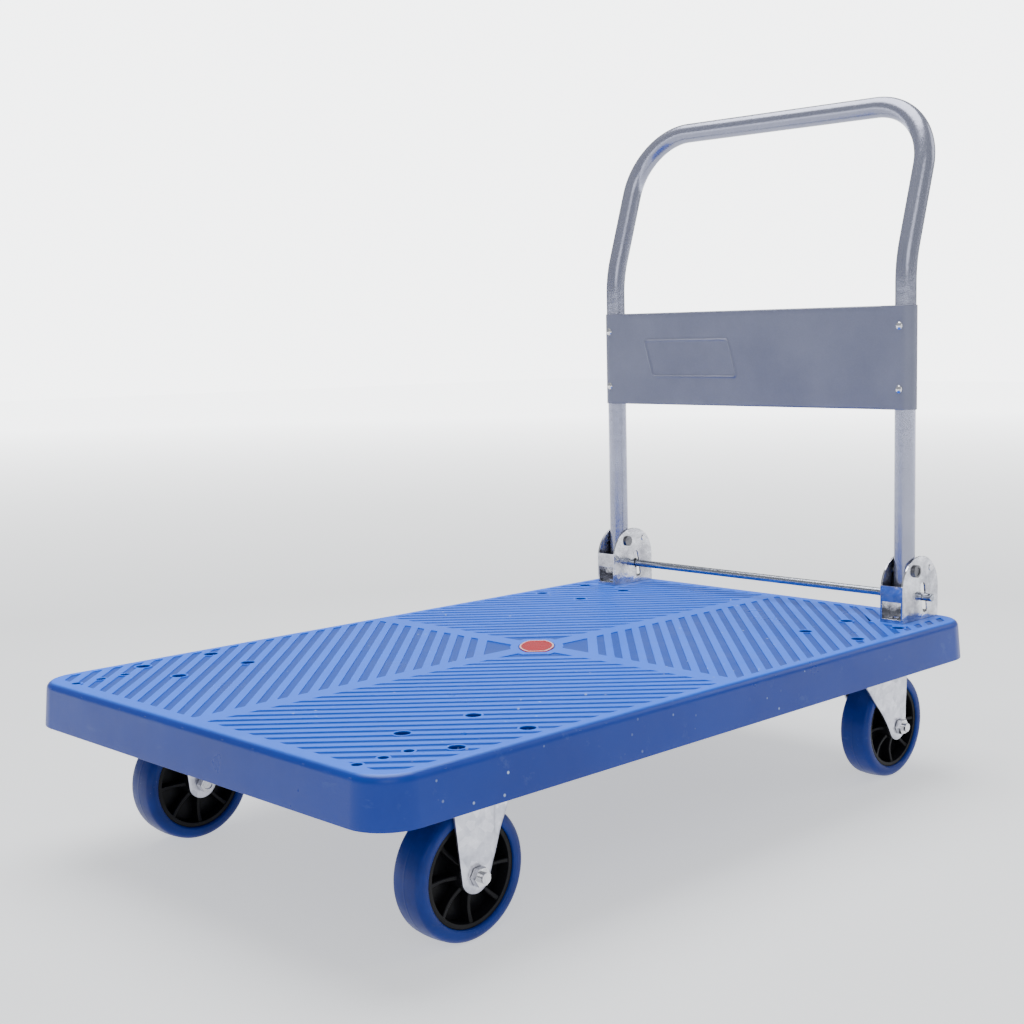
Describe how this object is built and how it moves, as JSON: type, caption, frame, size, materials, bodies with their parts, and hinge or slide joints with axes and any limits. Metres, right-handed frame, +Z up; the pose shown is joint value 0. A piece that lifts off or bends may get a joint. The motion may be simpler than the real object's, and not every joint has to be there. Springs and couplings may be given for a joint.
{
  "type": "folding platform cart",
  "caption": "Folding platform cart with a ribbed moulded deck, a spring-locked fold-down tube handle, and fixed and swivel casters.",
  "frame": {"origin": "on the floor, under the middle of the deck", "axes": "+X along the deck towards the handle, +Y to the left of a person pushing, +Z up"},
  "size_m": [0.9116, 0.58, 0.8126],
  "materials": {
    "deck_plastic": "semi-gloss moulded plastic, lightly grained",
    "badge_enamel": "glossy red with a plain raised rim",
    "bracket_zinc": "bright zinc plate on pressed steel",
    "bright_steel": "bright plated steel",
    "fork_zinc": "zinc plate on pressed steel, mottled",
    "spring_steel": "dark oiled spring steel",
    "handle_paint": "silver grey powder coat, satin",
    "panel_paint": "silver grey powder coat, satin",
    "black_plastic": "matte black",
    "tyre_rubber": "blue elastic tyre, satin",
    "hub_plastic": "black moulded nylon",
    "bearing_nylon": "plain white nylon"
  },
  "bodies": {
    "root": {"deck": "deck_plastic", "badge": "badge_enamel", "bracket_left": "bracket_zinc", "bracket_right": "bracket_zinc", "bracket_bolts": "bright_steel", "bracket_washers": "bright_steel", "bracket_nuts": "bright_steel", "pivot_pin_left": "bright_steel", "pivot_pin_right": "bright_steel", "lock_spring_left": "spring_steel", "lock_spring_right": "spring_steel", "spring_pins": "bright_steel", "caster_bolts": "bright_steel", "caster_washers": "bright_steel", "caster_nuts": "bright_steel", "front_fork_left": "fork_zinc", "front_fork_right": "fork_zinc", "front_axle_bolts": "bright_steel", "front_axle_sleeves": "bright_steel", "front_axle_nuts": "bright_steel", "rear_plate_left": "fork_zinc", "rear_plate_right": "fork_zinc", "rear_kingpin_left": "bright_steel", "rear_kingpin_right": "bright_steel", "rear_race_cap_left": "bright_steel", "rear_race_cap_right": "bright_steel", "rear_balls_left": "bright_steel", "rear_balls_right": "bright_steel"},
    "handle": {"handle_tube": "handle_paint", "leg_plugs": "black_plastic", "handle_panel": "panel_paint", "panel_screws": "bright_steel"},
    "lock": {"lock_rod": "bright_steel", "rod_clips": "spring_steel"},
    "swivel_left": {"rear_fork_left": "fork_zinc", "rear_axle_bolt_left": "bright_steel", "rear_axle_sleeve_left": "bright_steel", "rear_axle_nut_left": "bright_steel"},
    "swivel_right": {"rear_fork_right": "fork_zinc", "rear_axle_bolt_right": "bright_steel", "rear_axle_sleeve_right": "bright_steel", "rear_axle_nut_right": "bright_steel"},
    "wheel_front_left": {"front_tyre_left": "tyre_rubber", "front_hub_left": "hub_plastic", "front_bearing_left": "bearing_nylon"},
    "wheel_front_right": {"front_tyre_right": "tyre_rubber", "front_hub_right": "hub_plastic", "front_bearing_right": "bearing_nylon"},
    "wheel_rear_left": {"rear_tyre_left": "tyre_rubber", "rear_hub_left": "hub_plastic", "rear_bearing_left": "bearing_nylon"},
    "wheel_rear_right": {"rear_tyre_right": "tyre_rubber", "rear_hub_right": "hub_plastic", "rear_bearing_right": "bearing_nylon"}
  },
  "joints": [
    {"name": "handle_fold", "type": "hinge", "parent": "root", "child": "handle", "pos_m": [0.387, 0, 0.2455], "axis": [0, -1, 0], "range_deg": [0, 94]},
    {"name": "lock_rod_press", "type": "slide", "parent": "root", "child": "lock", "axis": [0.1822, 0, -0.9833], "range_m": [0, 0.014], "stiffness_N_per_m": 1200, "springref_m": -0.01, "deforming": ["lock_spring_left", "lock_spring_right"]},
    {"name": "swivel_left", "type": "hinge", "parent": "root", "child": "swivel_left", "pos_m": [0.298, 0.218, 0.15], "axis": [0, 0, 1], "continuous": true},
    {"name": "swivel_right", "type": "hinge", "parent": "root", "child": "swivel_right", "pos_m": [0.298, -0.218, 0.15], "axis": [0, 0, 1], "continuous": true},
    {"name": "wheel_front_left_spin", "type": "hinge", "parent": "root", "child": "wheel_front_left", "pos_m": [-0.31, 0.218, 0.0625], "axis": [0, 1, 0], "continuous": true},
    {"name": "wheel_front_right_spin", "type": "hinge", "parent": "root", "child": "wheel_front_right", "pos_m": [-0.31, -0.218, 0.0625], "axis": [0, 1, 0], "continuous": true},
    {"name": "wheel_rear_left_spin", "type": "hinge", "parent": "swivel_left", "child": "wheel_rear_left", "pos_m": [0.36, 0.218, 0.0625], "axis": [0, 1, 0], "continuous": true},
    {"name": "wheel_rear_right_spin", "type": "hinge", "parent": "swivel_right", "child": "wheel_rear_right", "pos_m": [0.36, -0.218, 0.0625], "axis": [0, 1, 0], "continuous": true}
  ]
}
